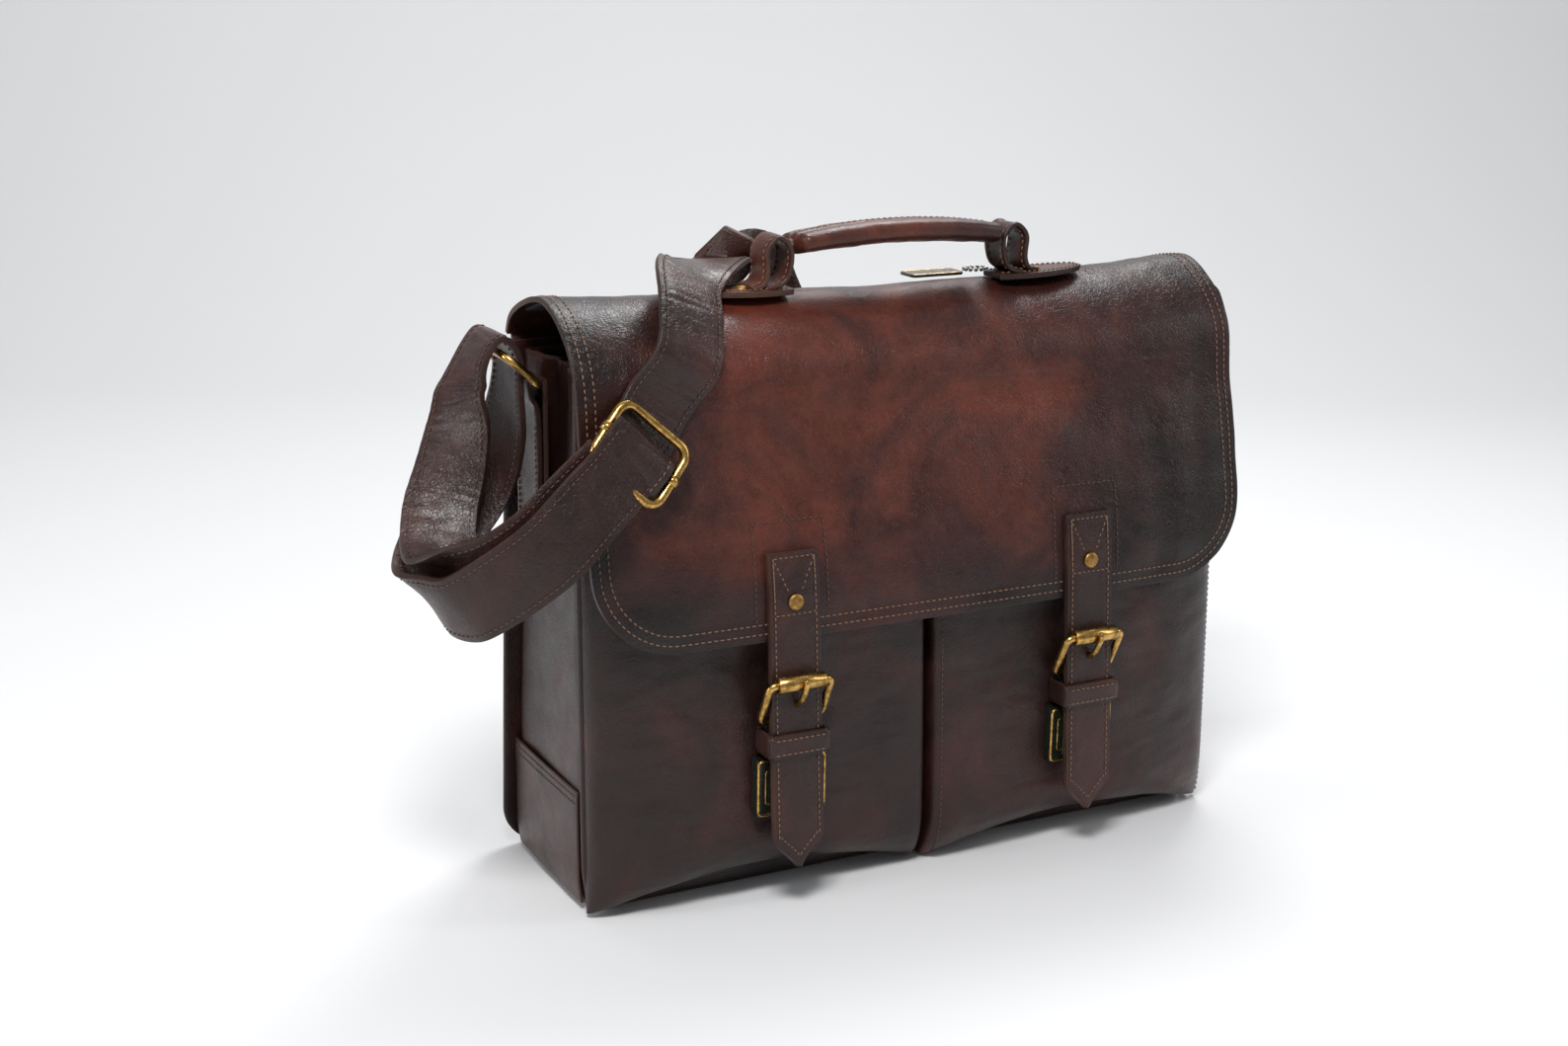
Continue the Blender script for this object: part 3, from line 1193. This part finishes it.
left_bar = joint_at["ring_left_swing"] + Vector((-0.74, 0, 0.67)).normalized() * 0.027
right_bar = Vector((-left_bar.x, left_bar.y, left_bar.z))
fold = 0.0021 + thick / 2 + 0.0036
front_run = [(side_x + 0.0260, -0.0790, top_z - 0.0330), (side_x + 0.0060, -0.0835, top_z - 0.0520),
             (side_x - 0.0105, -0.0880, top_z - 0.0645), (side_x - 0.0300, -0.0865, top_z - 0.084),
             (side_x - 0.0565, -0.073, top_z - 0.1055), (side_x - 0.0680, -0.058, top_z - 0.115),
             (side_x - 0.0750, -0.034, top_z - 0.113), (side_x - 0.0660, -0.014, top_z - 0.100),
             (side_x - 0.0500, -0.004, top_z - 0.084), (side_x - 0.0320, 0.002, top_z - 0.066),
             (side_x - 0.0195, 0.005, top_z - 0.0425), (side_x - 0.0155, 0.006, top_z - 0.021)]
front_across = [(0.66, -0.05, -0.74), (0.66, -0.10, -0.72), (0.65, -0.15, -0.70), (0.65, -0.25, -0.60),
                (0.68, -0.35, -0.60), (0.60, -0.50, -0.60), (0.45, -0.50, -0.72), (0.70, -0.45, -0.60),
                (0.75, -0.50, -0.40), (0.60, -0.75, -0.30), (0.30, -0.95, -0.05), (0.05, -1, 0)]
eased = fold + 0.0016
over = [tuple(left_bar + Vector((eased, 0, -0.002))), tuple(left_bar + Vector((0, 0, eased))),
        tuple(left_bar + Vector((-eased, 0, -0.001)))]
back_run = [(side_x - 0.0393, 0.0045, top_z - 0.0125), (side_x - 0.0440, 0.001, top_z - 0.021),
            (side_x - 0.0455, -0.003, top_z - 0.035), (side_x - 0.0528, -0.010, top_z - 0.0564),
            (side_x - 0.0620, -0.019, top_z - 0.0743), (side_x - 0.0680, -0.038, top_z - 0.096),
            (side_x - 0.0560, -0.060, top_z - 0.099), (side_x - 0.0320, -0.0745, top_z - 0.082),
            (side_x - 0.0120, -0.0755, top_z - 0.064), (side_x + 0.0100, -0.0770, top_z - 0.045)]
back_across = [(0.10, -0.99, -0.10), (0.30, -0.95, 0), (0.55, -0.83, -0.05), (0.70, -0.70, -0.20),
               (0.78, -0.55, -0.25), (0.60, -0.55, -0.55), (0.60, -0.30, -0.70), (0.62, -0.20, -0.70),
               (0.62, -0.15, -0.72), (0.60, -0.15, -0.70)]
left_band = Band(front_run + over + back_run, front_across + [(0, -1, 0)] * 3 + back_across, 9, 7)
left_strap = strap("shoulder_left", left_band, width, thick, [strap_hide, edge_hide], 0.0003,
                   0.0009, ripple_at=(0.50, 0.92))
left_rows = strap_seams("shoulder_left_seam", left_band, width, thick, brown_thread)
bends([left_strap] + left_rows, "flap_body", "bag_body", (-0.262, -0.052, 0.194),
      (-0.236, 0.008, 0.266),
      "shoulder_strap_ring_end", "shoulder_strap_front_run", "shoulder_strap_back_run",
      material_slot="strap_leather")

top = crown_z + drape_lift + 0.003
back = hinge_y + 0.004
rear = [(0.2215, 0.006, 0.252), (0.2205, 0.006, 0.274), tuple(right_bar + Vector((-fold, 0, -0.001))),
        tuple(right_bar + Vector((0, 0, fold))), tuple(right_bar + Vector((fold, 0, 0.001))),
        (0.2375, 0.010, 0.281), (0.240, 0.034, 0.256), (0.214, back + 0.006, 0.226),
        (0.160, back + 0.012, 0.204), (0.100, back + 0.010, 0.198), (0.040, back + 0.006, 0.212),
        (-0.004, back + 0.002, 0.240), (-0.024, back + 0.003, 0.275), (-0.037, back + 0.004, 0.304),
        (-0.052, hinge_y - 0.003, top - 0.003), (-0.086, hinge_y - 0.022, top + 0.002),
        (-0.1105, crown_y + 0.006, top + 0.004), (-0.1265, crown_y - 0.014, top + 0.003),
        (-0.136, crown_y - 0.038, top - 0.0095), (-0.146, crown_y - 0.057, top - 0.032),
        on_front(-0.158, 0.280, drape_lift + 0.0050), on_front(-0.172, 0.262, drape_lift + 0.0042),
        on_front(-0.186, 0.246, drape_lift + 0.0045)]
rear_across = [(0, -1, 0), (0, -1, 0), (0, -1, 0), (0, -1, 0), (0, -1, 0), (0, -1, 0.1),
               (-0.1, -0.80, 0.50), (-0.30, -0.30, 0.85), (-0.2, 0.10, 0.95), (0, 0.05, 1),
               (0.20, 0, 0.98), (0.50, 0, 0.85), (0.80, 0.0, 0.55), (0.85, 0.15, 0.35),
               (0.80, 0.55, -0.10), (0.84, 0.50, -0.05), (0.90, 0.40, -0.08), (0.90, 0.10, -0.30),
               (0.88, -0.05, -0.40), (0.88, 0, -0.45), (0.84, 0, -0.52), (0.78, 0, -0.60),
               (0.74, 0, -0.64)]
rear_band = Band(rear, rear_across, 9, 6)
rear_strap = strap("shoulder_rear", rear_band, width, thick, [strap_hide, edge_hide], 0.0003, 0.0007,
                   ripple_at=(0.72, 0.99))
rear_rows = strap_seams("shoulder_rear_seam", rear_band, width, thick, brown_thread)
bends([rear_strap] + rear_rows, "bag_body", "flap_body", (-0.014, 0.046, 0.262), (-0.048, 0.046, 0.302),
      "shoulder_strap_rear", "shoulder_strap_drape", material_slot="strap_leather")


# ---- slide ------------------------------------------------------------------------------------------
# Bent brass rod, with a loose bar wrapped round both sides; the strap's end is sewn over the bar.
slide_low, slide_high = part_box("slider_frame")
slide_at = Vector([(a + b) / 2 for a, b in zip(slide_low, slide_high)])
down = Vector((-0.68, 0.0, -0.73)).normalized()
right = Vector((down.z, 0, -down.x)) * -1
lean = Vector((0, (flap_y(-0.177, 0.27) - flap_y(-0.177, 0.24)) / 0.03, 0))
down = (down + lean * down.z).normalized()
right = (right + lean * right.z).normalized()
face = right.cross(down).normalized()
if face.y > 0:
    face = -face
slide_loop = loop_points(slide_at, right, down, 0.0215, 0.0175, 0.007)
slide = tube("slide_wire", slide_loop, 0.0050, brass, closed=True, sides=20)
collars = []
for edge in (-1, 1):
    spot = slide_at + right * edge * 0.0215
    collars.append(tube("slide_collar_%d" % edge, [spot - down * 0.0024, spot + down * 0.0024], 0.0070,
                        brass, sides=18))
goes([slide] + collars, "flap_body", "slider_frame", material_slot="aged_brass")
goes(tube("slide_bar", [slide_at - right * 0.0205, slide_at, slide_at + right * 0.0205], 0.0040, brass),
     "flap_body", "slider_bar", material_slot="aged_brass")
wrap_points = [slide_at + down * 0.016 - face * 0.0030, slide_at + down * 0.0095 + face * 0.0012,
               slide_at + down * 0.0035 + face * 0.0046, slide_at - down * 0.0030 + face * 0.0044,
               slide_at - down * 0.0062 + face * 0.0006, slide_at - down * 0.0040 - face * 0.0036]
wrap_band = Band(wrap_points, [right] * len(wrap_points), 8)
wrap_strap = strap("slide_wrap", wrap_band, 0.0350, 0.0030, [strap_hide, edge_hide], 0.0002)
wrap_rows = strap_seams("slide_wrap_seam", wrap_band, 0.0350, 0.0030, tan_thread)
goes([wrap_strap] + wrap_rows, "flap_body", material_slot="strap_leather")


# ---- tag and ball chain ----------------------------------------------------------------------------
# A dark enamelled plate in a brass rim, on a short loop of ball chain round the handle's foot.
low, high = (Vector(corner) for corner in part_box("tag"))
work = bmesh.new()
bmesh.ops.create_cube(work, size=1.0)
for vert in work.verts:
    vert.co = Vector([low[i] + (vert.co[i] + 0.5) * (high[i] - low[i]) for i in range(3)])
bmesh.ops.bevel(work, geom=[e for e in work.edges if abs(e.verts[0].co.z - e.verts[1].co.z) > 0.001],
                offset=0.003, segments=6, profile=0.5, affect="EDGES", material=-1)
bmesh.ops.bevel(work, geom=[e for e in work.edges if e.calc_face_angle(0) > 1.2], offset=0.0004,
                segments=2, profile=0.5, affect="EDGES", material=-1)
plate = from_work("tag_plate_metal", work, [nickel], smooth=False)
middle = (low + high) / 2
rim_loop = loop_points(Vector((middle.x, middle.y, high.z - 0.0004)), Vector((1, 0, 0)),
                       Vector((0, 1, 0)), (high.x - low.x) / 2 - 0.0008,
                       (high.y - low.y) / 2 - 0.0008, 0.0026)
goes([plate, tube("tag_rim", rim_loop, 0.0012, brass, closed=True, sides=10)], "tag_plate", "tag",
     material_slot="dark_steel")
low, high = (Vector(corner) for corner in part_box("tag_chain"))
middle = (low + high) / 2
work = bmesh.new()
reach = Vector(((high.x - low.x) / 2 - 0.0012, (high.y - low.y) / 2 - 0.0012, 0))
for k in range(13):
    a = math.tau * k / 13
    made = bmesh.ops.create_icosphere(work, subdivisions=2, radius=0.00125)
    bmesh.ops.translate(work, verts=made["verts"],
                        vec=middle + Vector((reach.x * math.cos(a), reach.y * math.sin(a), 0.0002)))
goes(from_work("ball_chain", work, [silver]), "handle", "tag_chain", material_slot="dark_steel")


# ---- studio -----------------------------------------------------------------------------------------
# The bag stands on pale seamless paper that sweeps up behind it, under a soft light from the
# upper left and a second light for the paper.
paper_turn = math.radians(-27.6)
ahead = Vector((-math.sin(paper_turn), math.cos(paper_turn), 0))
across_paper = Vector((ahead.y, -ahead.x, 0))
sweep = [(-6.0, 0.0), (1.2, 0.0)]
sweep += [(1.2 + 0.9 * math.sin(math.radians(a)), 0.9 - 0.9 * math.cos(math.radians(a)))
          for a in range(5, 91, 5)]
sweep.append((2.1, 6.0))
work = bmesh.new()
rows = [[work.verts.new(ahead * far + across_paper * wide + Vector((0, 0, high - 0.0002)))
         for wide in (-8, 8)] for far, high in sweep]
for low, high in zip(rows, rows[1:]):
    work.faces.new((low[0], low[1], high[1], high[0]))
bmesh.ops.recalc_face_normals(work, faces=work.faces)
floor = from_work("paper", work, [plain("paper_white", (0.74, 0.74, 0.745), 0.70, 0, 0.04,
                                        (0.7, 0.7, 0.7), 3.0, 0.0)])
world = bpy.data.worlds.new("studio")
bpy.context.scene.world = world
world.use_nodes = True
world.node_tree.nodes["Background"].inputs["Color"].default_value = (0.93, 0.96, 1.0, 1)
world.node_tree.nodes["Background"].inputs["Strength"].default_value = 0.34


def softbox(name, position, aim, size, power, colour=(1, 1, 1)):
    lamp = bpy.data.lights.new(name, "AREA")
    lamp.shape = "RECTANGLE"
    lamp.size, lamp.size_y = size
    lamp.energy = power
    lamp.color = colour
    holder = bpy.data.objects.new(name, lamp)
    holder.location = position
    holder.rotation_euler = (Vector(aim) - Vector(position)).to_track_quat("-Z", "Y").to_euler()
    bpy.context.scene.collection.objects.link(holder)


softbox("key", (-0.55, -0.75, 1.35), (0, 0, 0.2), (0.40, 0.35), 17)
softbox("top", (0.55, 0.55, 1.35), (0, 0, 0.25), (0.5, 0.35), 10)
softbox("side", (-1.5, 0.05, 0.55), (-0.2, 0, 0.2), (0.25, 0.8), 7)
softbox("right", (1.3, -0.7, 0.8), (0.1, 0, 0.2), (0.25, 0.8), 4)
softbox("wall_light", (0.1, 0.9, 2.3), (1.0, 2.6, 0.3), (2.6, 0.8), 22)

azimuth, elevation, roll = math.radians(-27.6), math.radians(15.3), math.radians(0.8)
behind = Vector((math.sin(azimuth) * math.cos(elevation), -math.cos(azimuth) * math.cos(elevation),
                 math.sin(elevation)))
level = Vector((math.cos(azimuth), math.sin(azimuth), 0))
upright = behind.cross(level)
turned = level * math.cos(roll) + upright * math.sin(roll)
raised = -level * math.sin(roll) + upright * math.cos(roll)
camera = bpy.data.objects.new("camera", bpy.data.cameras.new("camera"))
camera.data.lens = 50
camera.data.sensor_width = 36
camera.matrix_world = (Matrix.Translation((-0.6004, -1.0430, 0.5095))
                       @ Matrix((turned, raised, behind)).transposed().to_4x4())
bpy.context.scene.collection.objects.link(camera)
bpy.context.scene.camera = camera
bpy.context.scene.view_settings.view_transform = "Standard"
